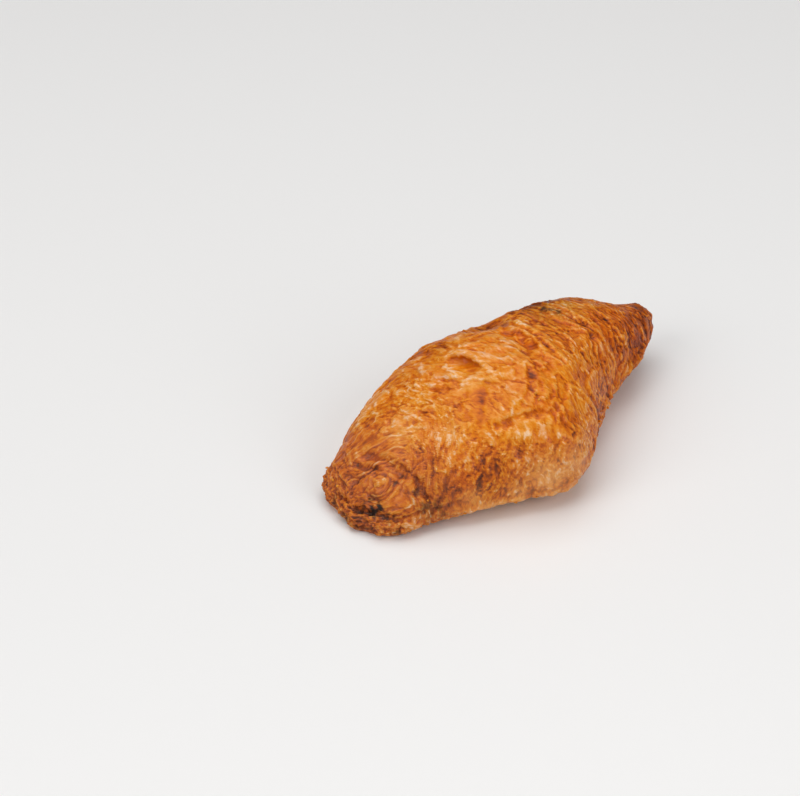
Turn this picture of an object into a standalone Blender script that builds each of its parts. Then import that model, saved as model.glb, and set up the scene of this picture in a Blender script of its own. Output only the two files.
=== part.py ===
"""Cabbage pie: a hand-sized puff pastry roll, closed round its filling, pinched at both ends.

The pie is one solid. A sphere's rings and columns become the sections of a loft: a blunt toe
with a tongue of dough under it, a broad belly that leans to one side, and a narrow tip that
rises off the table. Pinches, pockets, blisters, baked folds and loose layers are relief in it.

The axis runs along +X from the toe to the tip, +Y is the side that bulges least, +Z is up,
and the origin is the middle of the pie's box at the level it rests on.
"""
import math

import bmesh
import bpy
import numpy as np

# Lengths are worked out in millimetres, and the mesh is made in metres.
MM = 0.001
PIE = "cabbage_pie"

# Driving dimensions, in millimetres.
LENGTH = 151.0
TOE_ROUND = 7.0          # how far the blunt end takes to close
TIP_ROUND = 5.0          # the same at the narrow end
TONGUE_REACH = 3.8       # the lower sheet of dough stands out past the upper one at the toe
TONGUE_HEIGHT = 6.0      # and is this thick
TONGUE_WIDTH = 16.0      # half its width, to where it has thinned to a third
TONGUE_LENGTH = 15.0     # it dies away this far up the pie
LAYER_STEP = 0.9         # height of one torn edge of pastry
FOLD_HEIGHT = 0.85       # height of the baked folds across the pie
FOLD_SPACING = 8.0       # and their spacing
BASE_BLEND = 3.0         # relief fades out over this height above the table

# Shape of the sections. An exponent of 1 is an ellipse, and smaller ones are squarer.
TOE_POWER = 2.4
TIP_POWER = 2.6
SIDE_POWER = 0.9
TOP_POWER = 0.95
BASE_POWER = 0.6
GIRTH_SHARE = 0.40       # the widest level, as a share of the section's height

# Sections along the pie: distance from the toe as a share of the length, then the reach to the
# right, the reach to the left, the top and the underside. An underside below zero is dough that
# has settled: the table presses it flat.
SECTIONS = (
    (0.00, 15.0, 20.5, 10.5, -0.8),
    (0.08, 21.0, 22.5, 20.0, -1.2),
    (0.17, 28.5, 28.0, 28.0, -1.2),
    (0.28, 38.2, 31.0, 37.0, -1.2),
    (0.39, 46.8, 31.0, 43.5, -1.2),
    (0.50, 40.6, 28.5, 42.5, -1.2),
    (0.61, 30.6, 24.5, 40.6, -1.2),
    (0.72, 22.2, 22.5, 38.0, 1.2),
    (0.83, 18.5, 14.0, 32.8, 5.0),
    (0.92, 13.5, 8.5, 25.4, 9.0),
    (1.00, 6.5, 4.0, 20.8, 13.0),
)

# Grid: rings across the pie and columns round it. Two triangles a cell.
RINGS = 82
COLUMNS = 70
TOE_RINGS = 0.13         # share of the rings spent on the toe's end
TIP_RINGS = 0.08
TOP_CROWDING = 0.35      # columns stand closer on top than underneath

# Creases pressed in along a path over the crust: the path, how wide and how deep.
CREASES = (
    ("pinch over the tongue", 1.5, 2.0,
     ((5, 17, 9), (1, 10, 6.5), (0, 0, 6), (2, -9, 8), (5, -16, 8), (12, -21, 9.5), (25, -28, 11))),
    ("fold round the toe", 1.6, 1.7,
     ((12, 7, 19), (13, -2, 20), (14, -9, 20), (14.5, -16, 17.5), (14, -20, 13.5))),
    ("inner fold of the toe", 1.3, 1.0,
     ((8, 8, 15), (9, 2, 17), (11, -5, 18.5), (13, -12, 18.5))),
    ("crease along the side", 1.3, 0.9,
     ((42, -26, 32), (48, -30, 34), (52, -33, 35), (58, -36, 35))),
    ("furrow before the crest", 2.2, 1.3,
     ((74, 3, 42), (76, -5, 42.5), (74.5, -13, 42), (73, -19, 41))),
)

# Ridges raised along a path: the path, how wide and how high.
RIDGES = (
    ("lip over the pocket", 1.8, 1.0,
     ((51, 9, 39), (54.5, 5, 41), (55.5, 0, 42), (55, -5, 42), (53, -10, 41))),
    ("first fold of the crest", 1.5, 0.9,
     ((78, 6, 41), (79, -2, 42.5), (77.5, -10, 42.5), (75.5, -18, 41))),
    ("second fold of the crest", 1.4, 0.8,
     ((83, 6, 40.5), (84, -2, 42), (82, -10, 41.5), (79, -19, 39))),
    ("band under the pocket", 3.0, 0.9,
     ((43, 12, 35), (44, 5, 37), (46, -2, 38.5), (48, -9, 39.5), (52, -15, 40.5))),
    ("hem of the lower sheet", 1.8, 0.9,
     ((22, -28, 6), (38, -38, 6.5), (52, -45, 6.5), (61, -46, 6.5))),
    ("ragged edge of the far side", 2.2, 1.6,
     ((96, -29, 14), (108, -25, 14), (120, -21, 15), (134, -17, 17))),
)

# Bumps and dents: centre, radius across, and height, or depth where it is negative.
BLISTERS = (
    ("blister on the toe", (8, -4, 16), 3.0, 1.0),
    ("knot on the far half", (104, -16, 34), 3.6, 1.1),
    ("middle of the knot", (104, -16, 34), 1.7, -0.8),
    ("brown oval", (62, -23, 42), 3.5, -0.6),
    ("oval hollow", (71, -12, 43), 4.0, -1.3),
    ("pocket under the lip", (51, 0, 40.5), 4.0, -2.8),
    ("right side of the pocket", (50, -5, 40), 3.6, -1.8),
    ("hump on the crest", (90, 9, 38.5), 7.0, 1.5),
    ("dip at the left waist", (77, 14, 38.5), 8.0, -2.8),
    ("swelling of the belly", (62, -42, 20), 9.0, 0.8),
)
REACH_THROUGH = 9.0      # a feature marks only crust this near to its path

NOISE_SEED = 12


def smooth_curve(knots, values, at):
    """A smooth curve through the knots, read at the given places."""
    slopes = np.gradient(values, knots)
    span = np.clip(np.searchsorted(knots, at, side="right") - 1, 0, len(knots) - 2)
    width = knots[span + 1] - knots[span]
    s = (at - knots[span]) / width
    start = (2 * s**3 - 3 * s**2 + 1) * values[span]
    end = (3 * s**2 - 2 * s**3) * values[span + 1]
    rise = (s**3 - 2 * s**2 + s) * width * slopes[span]
    fall = (s**3 - s**2) * width * slopes[span + 1]
    return start + end + rise + fall


def ramp(low, high, value):
    """0 below low, 1 above high, and a smooth step between."""
    s = np.clip((value - low) / (high - low), 0.0, 1.0)
    return s * s * (3.0 - 2.0 * s)


def rings_along(share):
    """Distance from the toe, and how far the section has opened, for each ring's share."""
    toe = np.clip(share / TOE_RINGS, 0.0, 1.0) * math.pi / 2
    tip = np.clip((1.0 - share) / TIP_RINGS, 0.0, 1.0) * math.pi / 2
    body = np.clip((share - TOE_RINGS) / (1.0 - TOE_RINGS - TIP_RINGS), 0.0, 1.0)
    distance = (TOE_ROUND * (1.0 - np.cos(toe) ** (2 / TOE_POWER))
                + (LENGTH - TOE_ROUND - TIP_ROUND) * body
                + TIP_ROUND * np.clip(np.cos(tip), 0.0, 1.0) ** (2 / TIP_POWER))
    opening = np.sin(toe) ** (2 / TOE_POWER) * np.sin(tip) ** (2 / TIP_POWER)
    return distance, opening


def pie_form(share, turn):
    """Points of the smooth form. A turn of 0 is the left side and a quarter turn is the top."""
    knots, right, left, top, base = np.array(SECTIONS).T
    distance, opening = rings_along(share)
    at = distance / LENGTH
    right_edge = -smooth_curve(knots, right, at)
    left_edge = smooth_curve(knots, left, at)
    crest = smooth_curve(knots, top, at)
    keel = smooth_curve(knots, base, at)
    girth = keel + (crest - keel) * GIRTH_SHARE
    across = np.cos(turn)
    up = np.sin(turn)
    side = np.sign(across) * np.abs(across) ** SIDE_POWER
    y = (left_edge + right_edge) / 2 + (left_edge - right_edge) / 2 * opening * side
    over = girth + (crest - girth) * opening * np.abs(up) ** TOP_POWER
    under = girth - (girth - keel) * opening * np.abs(up) ** BASE_POWER
    return np.stack([distance, y, np.where(up >= 0.0, over, under)], axis=-1)


def gradient_noise(points, seed):
    """Smooth noise between about -1 and 1 with features about 1 unit across."""
    random = np.random.default_rng(seed)
    slopes = random.normal(size=(256, 3))
    slopes /= np.linalg.norm(slopes, axis=1, keepdims=True)
    shuffle = random.permutation(256)
    cell = np.floor(points).astype(int)
    inside = points - cell
    fade = inside**3 * (inside * (inside * 6 - 15) + 10)
    total = np.zeros(len(points))
    for corner in np.ndindex(2, 2, 2):
        near = np.array(corner)
        x, y, z = ((cell + near) & 255).T
        slope = slopes[shuffle[(shuffle[(shuffle[x] + y) & 255] + z) & 255]]
        weight = np.prod(np.where(near == 1, fade, 1.0 - fade), axis=1)
        total += weight * np.sum((inside - near) * slope, axis=1)
    return total * 1.7


def path_distance(points, normals, path):
    """Distance from each point to a path, measured along the crust."""
    path = np.array(path, dtype=float)
    best = np.full(len(points), np.inf)
    for start, end in zip(path[:-1], path[1:]):
        run = end - start
        place = np.clip((points - start) @ run / (run @ run), 0.0, 1.0)
        offset = points - start - place[:, None] * run
        through = np.sum(offset * normals, axis=1)
        along = np.linalg.norm(offset - through[:, None] * normals, axis=1)
        best = np.minimum(best, np.where(np.abs(through) < REACH_THROUGH, along, np.inf))
    return best


def named_relief(points, normals):
    """Creases, ridges, blisters and pockets, each where it belongs on the crust."""
    height = np.zeros(len(points))
    for _, width, depth, path in CREASES:
        height -= depth * np.exp(-(path_distance(points, normals, path) / width) ** 2)
    for _, width, rise, path in RIDGES:
        height += rise * np.exp(-(path_distance(points, normals, path) / width) ** 2)
    for _, centre, radius, rise in BLISTERS:
        away = np.linalg.norm(points - np.array(centre), axis=1) / radius
        height += rise * np.exp(-away**2 * 1.5)
    return height


def baked_relief(points):
    """Folds that run round the pie, and torn edges of layers standing a step above the next."""
    bend = gradient_noise(points / 22.0, NOISE_SEED)
    across = points[:, 0] / FOLD_SPACING + 1.6 * bend
    round_pie = points[:, 1:] / (3.0 * FOLD_SPACING)
    folds = gradient_noise(np.column_stack([across, round_pie]), NOISE_SEED + 1)
    layers = 2.4 * gradient_noise(np.column_stack([across * 0.45, round_pie]), NOISE_SEED + 2)
    torn = np.floor(layers) + ramp(0.7, 1.0, layers - np.floor(layers)) - layers
    return FOLD_HEIGHT * folds + LAYER_STEP * torn


def stand_out_tongue(points):
    """Push the lower sheet out past the upper one round the toe."""
    centre = np.array([16.0, 1.0])
    out = points[:, :2] - centre
    out[:, 0] = np.minimum(out[:, 0], 0.0)
    out /= np.maximum(np.linalg.norm(out, axis=1, keepdims=True), 1.0)
    level = 1.0 - ramp(TONGUE_HEIGHT * 0.75, TONGUE_HEIGHT * 1.3, points[:, 2])
    fade = 1.0 - ramp(TONGUE_LENGTH * 0.25, TONGUE_LENGTH, points[:, 0])
    width = np.exp(-((points[:, 1] + 2.5) / TONGUE_WIDTH) ** 2)
    lobes = 1.0 + 0.45 * gradient_noise(points / 6.0, NOISE_SEED + 3)
    points[:, :2] += (TONGUE_REACH * level * fade * width * lobes)[:, None] * out
    return points


def crust_material():
    """Egg-washed puff pastry baked to a golden brown."""
    material = bpy.data.materials.new("baked_puff_pastry")
    material.use_nodes = True
    shader = material.node_tree.nodes["Principled BSDF"]
    shader.inputs["Base Color"].default_value = (0.56, 0.22, 0.055, 1.0)
    shader.inputs["Roughness"].default_value = 0.45
    shader.inputs["Metallic"].default_value = 0.0
    return material


def pie_points(mesh):
    """Where each vertex of the ball goes: onto the form, and then in or out by the relief."""
    count = (len(mesh.vertices), 3)
    ball = np.empty(count[0] * 3, dtype=np.float32)
    mesh.vertices.foreach_get("co", ball)
    ball = ball.reshape(count).astype(float)
    share = 1.0 - np.arccos(np.clip(ball[:, 2], -1.0, 1.0)) / math.pi
    column = np.arctan2(ball[:, 1], ball[:, 0])
    turn = column + TOP_CROWDING * np.cos(column)
    points = stand_out_tongue(pie_form(share, turn))
    place(mesh, points)

    normals = np.empty(count[0] * 3, dtype=np.float32)
    mesh.vertex_normals.foreach_get("vector", normals)
    normals = normals.reshape(count).astype(float)
    height = named_relief(points, normals) + baked_relief(points)
    height *= ramp(0.0, BASE_BLEND, points[:, 2])
    points += normals * height[:, None]
    points[:, 2] = np.maximum(points[:, 2], 0.0)
    return points


def place(mesh, points):
    """Move a mesh's vertices to points given in millimetres."""
    mesh.vertices.foreach_set("co", (points * MM).ravel())
    mesh.update()


def centred(points):
    """The same points with the origin at the middle of the box, at the level of the base."""
    low = points.min(axis=0)
    high = points.max(axis=0)
    return points - np.array([(low[0] + high[0]) / 2, (low[1] + high[1]) / 2, low[2]])


def make_pie(collection):
    """The pie as one closed mesh."""
    grid = bmesh.new()
    bmesh.ops.create_uvsphere(grid, u_segments=COLUMNS, v_segments=RINGS, radius=1.0)
    mesh = bpy.data.meshes.new(PIE)
    grid.to_mesh(mesh)
    grid.free()
    place(mesh, centred(pie_points(mesh)))
    mesh.shade_smooth()
    mesh.materials.append(crust_material())
    pie = bpy.data.objects.new(PIE, mesh)
    collection.objects.link(pie)


def main():
    for old in list(bpy.data.objects):
        bpy.data.objects.remove(old, do_unlink=True)
    collection = bpy.data.collections.new("cabbage_pie_parts")
    bpy.context.scene.collection.children.link(collection)
    make_pie(collection)


main()
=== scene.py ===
# %% [markdown]
# # A cabbage pie in baked puff pastry
# A hand-sized pie: a sheet of puff pastry rolled round its filling and pinched shut at both
# ends. In the oven the layers lift, tear and brown, so the crust is all folds, flakes and
# blisters. The part's solid gives the true size and form. Here the same form is made again on
# a much finer grid, where the small wrinkles and torn layers are real geometry, and a
# procedural material browns it.

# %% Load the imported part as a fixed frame
import math

import bpy
import numpy as np
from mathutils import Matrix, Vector


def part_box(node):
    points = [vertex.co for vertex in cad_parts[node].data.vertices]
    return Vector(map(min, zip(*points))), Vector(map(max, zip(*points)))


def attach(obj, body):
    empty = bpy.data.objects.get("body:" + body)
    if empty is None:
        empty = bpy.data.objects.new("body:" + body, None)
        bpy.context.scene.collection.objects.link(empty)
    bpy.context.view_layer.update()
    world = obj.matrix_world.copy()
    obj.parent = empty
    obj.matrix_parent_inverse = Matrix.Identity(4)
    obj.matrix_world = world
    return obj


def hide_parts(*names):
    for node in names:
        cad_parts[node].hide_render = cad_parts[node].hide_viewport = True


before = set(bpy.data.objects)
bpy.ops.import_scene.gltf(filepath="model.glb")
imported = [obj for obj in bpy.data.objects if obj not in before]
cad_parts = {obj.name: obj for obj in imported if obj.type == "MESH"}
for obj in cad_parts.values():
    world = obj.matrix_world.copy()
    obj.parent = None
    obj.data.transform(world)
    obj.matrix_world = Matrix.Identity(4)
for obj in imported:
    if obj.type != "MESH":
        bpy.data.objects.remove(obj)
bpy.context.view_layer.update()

PIE = "cabbage_pie"
PIE_LOW, PIE_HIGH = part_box(PIE)
MM = 0.001
print("solid of the pie, mm:", [round((h - l) / MM, 1) for l, h in zip(PIE_LOW, PIE_HIGH)])

# %% [markdown]
# ## Tools for curves, ramps and noise
# Everything on the crust is a number worked out for each point of a grid. A few small tools
# make nearly all of it: a smooth curve through knots, a soft step, and gradient noise.
# Displace modifiers would bend the surface as well, but numpy lets one field move it and
# colour it, so that a fold is painted pale, a painted sheen, exactly where it stands proud.

# %% Curves and ramps


def smooth_curve(knots, values, at):
    """A smooth curve through the knots, read at the given places."""
    slopes = np.gradient(values, knots)
    span = np.clip(np.searchsorted(knots, at, side="right") - 1, 0, len(knots) - 2)
    width = knots[span + 1] - knots[span]
    s = (at - knots[span]) / width
    start = (2 * s**3 - 3 * s**2 + 1) * values[span]
    end = (3 * s**2 - 2 * s**3) * values[span + 1]
    rise = (s**3 - 2 * s**2 + s) * width * slopes[span]
    fall = (s**3 - s**2) * width * slopes[span + 1]
    return start + end + rise + fall


def ramp(low, high, value):
    """0 below low, 1 above high, and a smooth step between."""
    s = np.clip((value - low) / (high - low), 0.0, 1.0)
    return s * s * (3.0 - 2.0 * s)


print("a ramp from 0 to 4 at 1, 2 and 3:", ramp(0.0, 4.0, np.array([1.0, 2.0, 3.0])))

# %% Noise
NOISE_REACH = 1.7  # brings the noise to about -1 to 1
OCTAVE_SHARE = 0.55  # strength of each finer copy of a noise against the one before


def gradient_noise(points, seed):
    """Smooth noise between about -1 and 1 with features about 1 unit across."""
    random = np.random.default_rng(seed)
    slopes = random.normal(size=(256, 3))
    slopes /= np.linalg.norm(slopes, axis=1, keepdims=True)
    shuffle = random.permutation(256)
    cell = np.floor(points).astype(int)
    inside = points - cell
    fade = inside**3 * (inside * (inside * 6 - 15) + 10)
    cell_x, cell_y, cell_z = cell.T
    total = np.zeros(len(points))
    for i, j, k in np.ndindex(2, 2, 2):
        row = shuffle[(shuffle[(cell_x + i) & 255] + cell_y + j) & 255]
        slope = slopes[shuffle[(row + cell_z + k) & 255]]
        weight = np.ones(len(points))
        lean = np.zeros(len(points))
        for axis, side in enumerate((i, j, k)):
            weight *= fade[:, axis] if side else 1.0 - fade[:, axis]
            lean += (inside[:, axis] - side) * slope[:, axis]
        total += weight * lean
    return total * NOISE_REACH


def rough_noise(points, seed, octaves=3):
    """Gradient noise with finer and weaker copies of itself added."""
    total = np.zeros(len(points))
    for octave in range(octaves):
        total += gradient_noise(points * 2.0**octave, seed + 17 * octave) * OCTAVE_SHARE**octave
    return total


def patchy(noise, middle, swing, low, high):
    """A strength that swings with a noise about a middle value, between two limits."""
    return np.clip(middle + swing * noise, low, high)


def tell(name, values):
    """Print the range of a field."""
    print(name, round(float(np.min(values)), 2), "to", round(float(np.max(values)), 2))


tell("noise:", gradient_noise(np.random.default_rng(0).uniform(0.0, 50.0, (1000, 3)), 1))

# %% [markdown]
# ## The form of the pie
# The real pie was rolled, so it is a loft: rounded sections along an axis, the eleven that
# the solid was made from. A cage with Subdivision Surface would be smooth as well, but the
# patterns of the crust have to know where on the roll each point lies. So the loft is worked
# out in numpy, with smooth curves between the sections and both ends rounded off.

# %% Sizes of the form, in millimetres
LENGTH = 151.0
TOE_ROUND = 7.0  # the ends close within these lengths
TIP_ROUND = 5.0
TOE_POWER = 2.4  # 2 is an elliptic end, and more is blunter
TIP_POWER = 2.6
SIDE_POWER = 0.9  # 1 is an elliptic section, and less is fuller
TOP_POWER = 0.95
BASE_POWER = 0.6
GIRTH_SHARE = 0.40  # the level where a section is widest

# Distance from the toe as a share of the length, reach right, reach left, top and underside.
SECTIONS = (
    (0.00, 15.0, 20.5, 10.5, -0.8),
    (0.08, 21.0, 22.5, 20.0, -1.2),
    (0.17, 28.5, 28.0, 28.0, -1.2),
    (0.28, 38.2, 31.0, 37.0, -1.2),
    (0.39, 46.8, 31.0, 43.5, -1.2),
    (0.50, 40.6, 28.5, 42.5, -1.2),
    (0.61, 30.6, 24.5, 40.6, -1.2),
    (0.72, 22.2, 22.5, 38.0, 1.2),
    (0.83, 18.5, 14.0, 32.8, 5.0),
    (0.92, 13.5, 8.5, 25.4, 9.0),
    (1.00, 6.5, 4.0, 20.8, 13.0),
)
print("sections:", len(SECTIONS), "over", LENGTH, "mm")

# %% Sections along the pie
TOE_RINGS = 0.13  # share of the rings that round off the toe
TIP_RINGS = 0.08  # and the tip


def rings_along(share):
    """Distance from the toe, and how far the section has opened, for each ring's share."""
    toe = np.clip(share / TOE_RINGS, 0.0, 1.0) * math.pi / 2
    tip = np.clip((1.0 - share) / TIP_RINGS, 0.0, 1.0) * math.pi / 2
    body = np.clip((share - TOE_RINGS) / (1.0 - TOE_RINGS - TIP_RINGS), 0.0, 1.0)
    distance = (TOE_ROUND * (1.0 - np.cos(toe) ** (2 / TOE_POWER))
                + (LENGTH - TOE_ROUND - TIP_ROUND) * body
                + TIP_ROUND * np.clip(np.cos(tip), 0.0, 1.0) ** (2 / TIP_POWER))
    opening = np.sin(toe) ** (2 / TOE_POWER) * np.sin(tip) ** (2 / TIP_POWER)
    return distance, opening


def pie_form(share, turn):
    """Points of the smooth form. A turn of 0 is the left side and a quarter turn is the top."""
    knots, right, left, top, base = np.array(SECTIONS).T
    distance, opening = rings_along(share)
    at = distance / LENGTH
    right_edge = -smooth_curve(knots, right, at)
    left_edge = smooth_curve(knots, left, at)
    crest = smooth_curve(knots, top, at)
    keel = smooth_curve(knots, base, at)
    girth = keel + (crest - keel) * GIRTH_SHARE
    across = np.cos(turn)
    up = np.sin(turn)
    side = np.sign(across) * np.abs(across) ** SIDE_POWER
    y = (left_edge + right_edge) / 2 + (left_edge - right_edge) / 2 * opening * side
    over = girth + (crest - girth) * opening * np.abs(up) ** TOP_POWER
    under = girth - (girth - keel) * opening * np.abs(up) ** BASE_POWER
    return np.stack([distance, y, np.where(up >= 0.0, over, under)], axis=-1)

# %% The tongue of the lower sheet
TONGUE_REACH = 3.8  # how far it stands out
TONGUE_WIDTH = 16.0
TONGUE_MIDDLE = -2.5  # it is longest here, across the pie
TONGUE_CENTRE = np.array([16.0, 1.0])  # and spreads away from this point in plan
TONGUE_LOBES = 0.45  # how uneven its edge is, over lobes of LOBE_SPAN
LOBE_SPAN = 6.0
NOISE_SEED = 12


def stand_out_tongue(points):
    """Push the lower sheet out past the upper one round the toe."""
    out = points[:, :2] - TONGUE_CENTRE
    out[:, 0] = np.minimum(out[:, 0], 0.0)
    out /= np.maximum(np.linalg.norm(out, axis=1, keepdims=True), 1.0)
    level = 1.0 - ramp(4.5, 7.8, points[:, 2])
    fade = 1.0 - ramp(3.75, 15.0, points[:, 0])
    width = np.exp(-((points[:, 1] - TONGUE_MIDDLE) / TONGUE_WIDTH) ** 2)
    lobes = 1.0 + TONGUE_LOBES * gradient_noise(points / LOBE_SPAN, NOISE_SEED + 3)
    points[:, :2] += (TONGUE_REACH * level * fade * width * lobes)[:, None] * out
    return points


belly = pie_form(np.full(2, 0.4), np.array([0.0, math.pi]))
print("width at the belly, mm:", round(float(np.ptp(belly[:, 1])), 1))

# %% [markdown]
# ## A fine grid on the form
# The skin of a loft is a grid: each ring is joined to the next by a band of quads, and the
# first and last rings close in a fan on one point. The mesh and its points are kept apart:
# numpy works on the points, and the mesh gives back the normals along which relief pushes.

# %% Tools for a grid of points


def place(mesh, points):
    """Move a mesh's vertices to points given in millimetres."""
    mesh.vertices.foreach_set("co", (points * MM).ravel())
    mesh.update()


def new_object(name, data):
    """A new object in the scene."""
    made = bpy.data.objects.new(name, data)
    bpy.context.scene.collection.objects.link(made)
    return made


def read_vectors(source, name, count):
    """A mesh's vectors as an array with one row a vertex."""
    flat = np.empty(count * 3, dtype=np.float32)
    source.foreach_get(name, flat)
    return flat.reshape(count, 3).astype(float)


def loft_faces(rings, columns):
    """Faces of a closed grid: quads between rings, and a fan on the last two points."""
    ring, column = np.meshgrid(np.arange(rings - 1), np.arange(columns), indexing="ij")
    here = (ring * columns + column).ravel()
    beside = (ring * columns + (column + 1) % columns).ravel()
    faces = np.stack([here, beside, beside + columns, here + columns], axis=1).tolist()
    toe_end = rings * columns
    last = (rings - 1) * columns
    for step in range(columns):
        after = (step + 1) % columns
        faces.append((toe_end, after, step))
        faces.append((toe_end + 1, last + step, last + after))
    return faces


print("faces of a grid of 3 rings and 4 columns:", len(loft_faces(3, 4)))

# %% The fine grid on the smooth form
RINGS = 400  # fine enough for wrinkles of 1.5 mm, and under 200,000 triangles
COLUMNS = 246
TOP_CROWDING = 0.35  # crowds the columns on the top, where the finest wrinkles are
ring_shares = np.repeat(np.arange(1, RINGS) / RINGS, COLUMNS)
share = np.append(ring_shares, (0.0, 1.0))
column = np.tile(np.arange(COLUMNS) / COLUMNS * 2 * math.pi - math.pi, RINGS - 1)
column = np.append(column, (0.0, 0.0))
turn = column + TOP_CROWDING * np.cos(column)
form = stand_out_tongue(pie_form(share, turn))
COUNT = len(form)
crust_mesh = bpy.data.meshes.new("crust")
crust_mesh.from_pydata(form * MM, [], loft_faces(RINGS - 1, COLUMNS))
crust_mesh.update()
form_normals = read_vectors(crust_mesh.vertex_normals, "vector", COUNT)
print("points on the form:", COUNT)

# %% [markdown]
# ## Flow of the layers
# Puff pastry stretches round the roll, so its wrinkles and torn edges run round the pie, and
# over the near half they are arcs round the toe, like ripples. A UV map would run straight.
# So a flow coordinate is worked out instead: how far along the pie, or out from the toe, a
# point lies, bent by slow noise. Every pattern below is read in it, stretched by its sizes.

# %% Distances along the pie and round the toe
TOE_EYE = np.array([8.0, -5.0, 16.0])  # the small arcs of the toe run round this point,
TOE_LEFT = np.array([4.0, 7.0, 14.0])  # the wide ones of the near half round this one,
TOE_TOP = np.array([25.0, 0.0, 32.0])  # and those under the swelling round this one
MEETING = 55.0  # where all ways of measuring agree
steps = np.linspace(0.0, 1.0, 2001)
spine = pie_form(steps, np.full(len(steps), math.pi / 2))
travel = np.append(0.0, np.cumsum(np.linalg.norm(np.diff(spine, axis=0), axis=1)))
along = np.interp(share, steps, travel)


def away_from(centre):
    """Distance of each point of the form from a centre."""
    return np.linalg.norm(form - centre, axis=1)


def rings_round(centre, through, value):
    """Distance from a centre, shifted to have a value on the ring through a point."""
    return away_from(centre) - np.linalg.norm(through - centre) + value


form_x, form_y, form_z = form.T
toe_side = 1.0 - ramp(12.0, 30.0, form_x)
near_half = 1.0 - ramp(36.0, 76.0, form_x)
far_half = ramp(70.0, 92.0, form_x)
near_eye = 1.0 - ramp(9.0, 26.0, away_from(TOE_EYE))
under_eye = (1.0 - ramp(8.0, 16.0, form_x)) * (1.0 - ramp(11.0, 17.0, form_z))
print("crust measures", round(float(travel[-1])), "mm from end to end over the top")

# %% The flow coordinate
BEND = 5.0  # how far a wrinkle wanders, over BEND_SPAN
BEND_SPAN = 26.0
WIGGLE = 1.5  # and the quick wiggle on top of that
WIGGLE_SPAN = 7.0
RING_LEAN = 0.5
meeting = np.array([np.interp(MEETING, spine[:, 0], spine[:, axis]) for axis in range(3)])
value = np.interp(MEETING, spine[:, 0], travel)
at_eye = value - np.linalg.norm(meeting - TOE_EYE)
flow = rings_round(TOE_LEFT, meeting, value)
flow += (rings_round(TOE_EYE, meeting, value) - flow) * near_eye
flow += (rings_round(TOE_TOP, TOE_EYE, at_eye) - flow) * under_eye
flow = along + (flow - along) * near_half
flow += BEND * gradient_noise(form / BEND_SPAN, 31)
flow += WIGGLE * gradient_noise(form / WIGGLE_SPAN, 32)

# Where on its ring a point lies: two numbers that change whichever way a ring runs.
on_ring = form[:, 1:] + RING_LEAN * form[:, :1] * (1.0, -1.0)


def streaks(across, length, seed, octaves=2):
    """Noise with streaks this wide across the rings and this long on them, in millimetres."""
    return rough_noise(np.column_stack([flow / across, on_ring / length]), seed, octaves)


tell("flow, mm:", flow)

# %% [markdown]
# ## Named relief
# These forms make this pie and no other: the pinch over the tongue, the folds round the toe,
# the pocket with its lip, the folds of the crest, the knot. They could be sculpted, but as a
# path or a centre with a width and a height, each can be named and changed. The solid has
# them too, so that both agree.

# %% Creases, ridges and blisters: width or radius, height and place
CREASES = (
    ("pinch over the tongue", 1.2, 0.9,
     ((5, 17, 9), (1, 10, 6.5), (0, 0, 6), (2, -9, 8), (5, -16, 8), (12, -21, 9.5), (25, -28, 11))),
    ("fold round the toe", 1.6, 1.7,
     ((12, 7, 19), (13, -2, 20), (14, -9, 20), (14.5, -16, 17.5), (14, -20, 13.5))),
    ("inner fold of the toe", 1.3, 1.0,
     ((8, 8, 15), (9, 2, 17), (11, -5, 18.5), (13, -12, 18.5))),
    ("crease along the side", 1.3, 0.9,
     ((42, -26, 32), (48, -30, 34), (52, -33, 35), (58, -36, 35))),
    ("furrow before the crest", 2.2, 1.3,
     ((74, 3, 42), (76, -5, 42.5), (74.5, -13, 42), (73, -19, 41))),
)
RIDGES = (
    ("lip over the pocket", 1.8, 0.6,
     ((51, 9, 39), (54.5, 5, 41), (55.5, 0, 42), (55, -5, 42), (53, -10, 41))),
    ("first fold of the crest", 1.5, 0.6,
     ((78, 6, 41), (79, -2, 42.5), (77.5, -10, 42.5), (75.5, -18, 41))),
    ("second fold of the crest", 1.4, 0.5,
     ((83, 6, 40.5), (84, -2, 42), (82, -10, 41.5), (79, -19, 39))),
    ("band under the pocket", 3.0, 0.9,
     ((43, 12, 35), (44, 5, 37), (46, -2, 38.5), (48, -9, 39.5), (52, -15, 40.5))),
    ("hem of the lower sheet", 1.8, 0.9,
     ((22, -28, 6), (38, -38, 6.5), (52, -45, 6.5), (61, -46, 6.5))),
    ("ragged edge of the far side", 2.6, 1.2,
     ((96, -29, 14), (108, -25, 14), (120, -21, 15), (134, -17, 17))),
)
BLISTERS = (
    ("blister on the toe", (8, -4, 16), 3.0, 1.0),
    ("knot on the far half", (102, -16, 35), 4.6, 2.6),
    ("middle of the knot", (102, -16, 35), 2.6, -3.2),
    ("brown oval", (62, -23, 42), 3.5, -0.6),
    ("oval hollow", (71, -12, 43), 4.0, -1.3),
    ("pocket under the lip", (51, 0, 40.5), 4.0, -2.0),
    ("right side of the pocket", (50, -5, 40), 3.6, -1.0),
    ("hump on the crest", (90, 9, 38.5), 7.0, 1.5),
    ("dip at the left waist", (77, 14, 38.5), 8.0, -2.8),
    ("swelling of the belly", (62, -42, 20), 9.0, 0.8),
)
print("named forms:", len(CREASES) + len(RIDGES) + len(BLISTERS))

# %% How near each point is to a path or a centre
REACH_THROUGH = 9.0  # a path acts on this side of the pie and not on the other
CENTRE_FALL = 1.5  # how fast a round form falls off


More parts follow.
